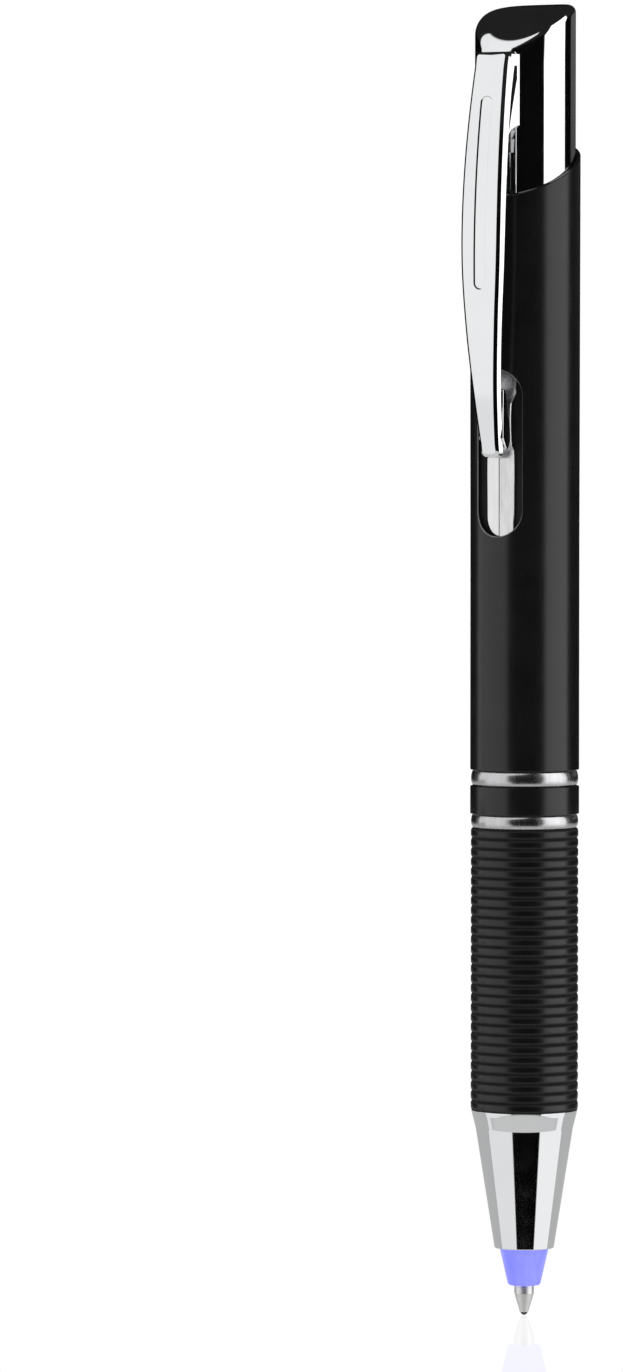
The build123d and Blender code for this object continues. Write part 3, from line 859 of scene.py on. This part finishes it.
def root_groove(side):
    """Sharp groove down one side of the clip's root, behind the strip."""
    half = ROOT_GROOVE_HALF_W
    rise = ROOT_GROOVE_HIGH_Z - ROOT_GROOVE_LOW_Z
    steps = 20
    verts = []
    for i in range(steps + 1):
        z = ROOT_GROOVE_LOW_Z + rise * i / steps
        y = clip_back(z) + ROOT_GROOVE_BEHIND
        mouth_x = side * ROOT_GROOVE_MOUTH_X
        verts += [(side * ROOT_GROOVE_TIP_X, y, z), (mouth_x, y - half, z), (mouth_x, y + half, z)]
    last = 3 * steps
    faces = [(0, 1, 2), (last, last + 1, last + 2)]
    for i in range(steps):
        for j in range(3):
            k = (j + 1) % 3
            faces.append((3 * i + j, 3 * i + k, 3 * i + 3 + k, 3 * i + 3 + j))
    return solid("root_groove", verts, faces)


def clip():
    """Bowed strip with a shallow panel on its face, a nub near its tail and a root on the clicker."""
    piece = clip_strip()
    combine(piece, panel_cutter())
    top = CLIP_TOP_Z - 0.25
    root_line = [(-5.0, ROOT_LOW_Z), (-5.37, ROOT_LOW_Z), (-6.3, 126.6), (-6.95, 125.7), (-7.4, 124.3),
                 (-7.9, 124.3), (-6.2, top), (-5.0, top)]
    combine(piece, prism("clip_root", root_line, lambda y: ROOT_HALF_W + (y + 6) * ROOT_TAPER), "UNION")
    combine(piece, root_groove(1))
    combine(piece, root_groove(-1))
    combine(piece, nub(), "UNION")
    clear_r = PLUNGER_R + 0.05
    combine(piece, lathe("clip_trim", [(0, 120), (clear_r, 120), (clear_r, 140), (0, 140)]))
    bend = ("plunger", "clip_arm", (0, 0, BEND_TOP_Z * MM), (0, 0, BEND_LOW_Z * MM))
    return place(piece, LOOKS["chrome"], "clip_arm", ["clip"], 12, bend)


# ---------------------------------------------------------------- studio
def studio_world():
    """White all round for the eye and for soft light, and side panels on dark for what gleams."""
    world = bpy.data.worlds.new("studio")
    bpy.context.scene.world = world
    world.use_nodes = True
    nodes = world.node_tree.nodes
    links = world.node_tree.links
    nodes.clear()

    def math_node(operation, first, second=None):
        node = nodes.new("ShaderNodeMath")
        node.operation = operation
        for socket, value in zip(node.inputs, (first, second)):
            if value is None:
                continue
            if isinstance(value, (int, float)):
                socket.default_value = value
            else:
                links.new(value, socket)
        return node.outputs[0]

    def times(first, second):
        return math_node("MULTIPLY", first, second)

    def ramp(value, low, high):
        node = nodes.new("ShaderNodeMapRange")
        node.interpolation_type = "SMOOTHSTEP"
        node.inputs["From Min"].default_value = low
        node.inputs["From Max"].default_value = high
        links.new(value, node.inputs["Value"])
        return node.outputs["Result"]

    way = nodes.new("ShaderNodeTexCoord").outputs["Generated"]
    turn = nodes.new("ShaderNodeVectorRotate")
    turn.rotation_type = "Z_AXIS"
    turn.inputs["Angle"].default_value = math.radians(90 - CAMERA_AZIMUTH)
    links.new(way, turn.inputs["Vector"])
    split = nodes.new("ShaderNodeSeparateXYZ")
    links.new(turn.outputs["Vector"], split.inputs["Vector"])
    degree = 180 / math.pi
    round_deg = times(math_node("ARCTAN2", split.outputs["Y"], split.outputs["X"]), degree)
    up_deg = times(math_node("ARCSINE", split.outputs["Z"]), degree)

    def card(left, right, low, high, strength, soft, rise):
        """Brightness of one card, which fades over twice its softness at each edge."""
        sides = times(ramp(round_deg, left - soft, left + soft),
                      ramp(round_deg, right + soft, right - soft))
        lifted = times(math_node("SUBTRACT", round_deg, left), rise)
        above = math_node("SUBTRACT", up_deg, lifted)
        ends = times(ramp(above, low - soft, low + soft), ramp(up_deg, high + soft, high - soft))
        return times(times(sides, ends), strength)

    total = STUDIO_DARK
    for shape in CARDS:
        total = math_node("MAXIMUM", card(*shape), total)

    path = nodes.new("ShaderNodeLightPath")
    rough = math_node("SUBTRACT", 1.0, path.outputs["Is Singular Ray"])
    gleam = times(path.outputs["Is Glossy Ray"], rough)
    plain = nodes.new("ShaderNodeBackground")
    plain.inputs["Color"].default_value = (1, 1, 1, 1)
    plain.inputs["Strength"].default_value = 1.0
    cards = nodes.new("ShaderNodeBackground")
    cards.inputs["Color"].default_value = (1, 1, 1, 1)
    links.new(total, cards.inputs["Strength"])
    choose = nodes.new("ShaderNodeMixShader")
    links.new(gleam, choose.inputs[0])
    links.new(plain.outputs[0], choose.inputs[1])
    links.new(cards.outputs[0], choose.inputs[2])
    output = nodes.new("ShaderNodeOutputWorld")
    links.new(choose.outputs[0], output.inputs["Surface"])


def floor():
    """Plain white floor that mirrors the pen faintly."""
    corners = ((-1, -1), (1, -1), (1, 1), (-1, 1))
    mesh = bpy.data.meshes.new("floor")
    verts = [(x * FLOOR_HALF_M, y * FLOOR_HALF_M, 0) for x, y in corners]
    mesh.from_pydata(verts, [], [(0, 1, 2, 3)])
    piece = bpy.data.objects.new("floor", mesh)
    bpy.context.scene.collection.objects.link(piece)
    material = bpy.data.materials.new("white_floor")
    material.use_nodes = True
    nodes = material.node_tree.nodes
    links = material.node_tree.links
    nodes.clear()
    white = nodes.new("ShaderNodeEmission")
    white.inputs["Strength"].default_value = 1.0
    mirror = nodes.new("ShaderNodeBsdfGlossy")
    mirror.inputs["Roughness"].default_value = 0.0
    mirror.inputs["Color"].default_value = (1, 1, 1, 1)
    mixed = nodes.new("ShaderNodeMixShader")
    mixed.inputs[0].default_value = FLOOR_MIRROR
    links.new(white.outputs[0], mixed.inputs[1])
    links.new(mirror.outputs[0], mixed.inputs[2])
    output = nodes.new("ShaderNodeOutputMaterial")
    links.new(mixed.outputs[0], output.inputs["Surface"])
    mesh.materials.append(material)
    piece.visible_glossy = False


def camera():
    """Camera with the photograph's view of the pen."""
    view = bpy.data.cameras.new("camera")
    view.lens = CAMERA_LENS
    view.clip_start = 0.01
    eye = bpy.data.objects.new("camera", view)
    bpy.context.scene.collection.objects.link(eye)
    azimuth = math.radians(CAMERA_AZIMUTH)
    eye.location = (CAMERA_AWAY * math.sin(azimuth), -CAMERA_AWAY * math.cos(azimuth), CAMERA_Z)
    eye.rotation_euler = (math.radians(90 - CAMERA_DOWN), 0, azimuth + math.radians(CAMERA_LEFT))
    bpy.context.scene.camera = eye


nose()
light_guide()
refill_point()
grip()
ring("ring_low", "lower_ring", LOWER_RING_Z, BAND_Z)
band()
ring("ring_high", "upper_ring", UPPER_RING_Z, BARREL_Z - 0.02)
rear_tube()
tongue()
clicker()
clip()

for part in frame["record"]["subparts"]:
    node = frame["nodes"][part["node"]]
    node.data.materials.clear()
    node.data.materials.append(LOOKS[part["material_slot"]])

studio_world()
floor()
camera()
bpy.context.scene.view_settings.view_transform = "Standard"
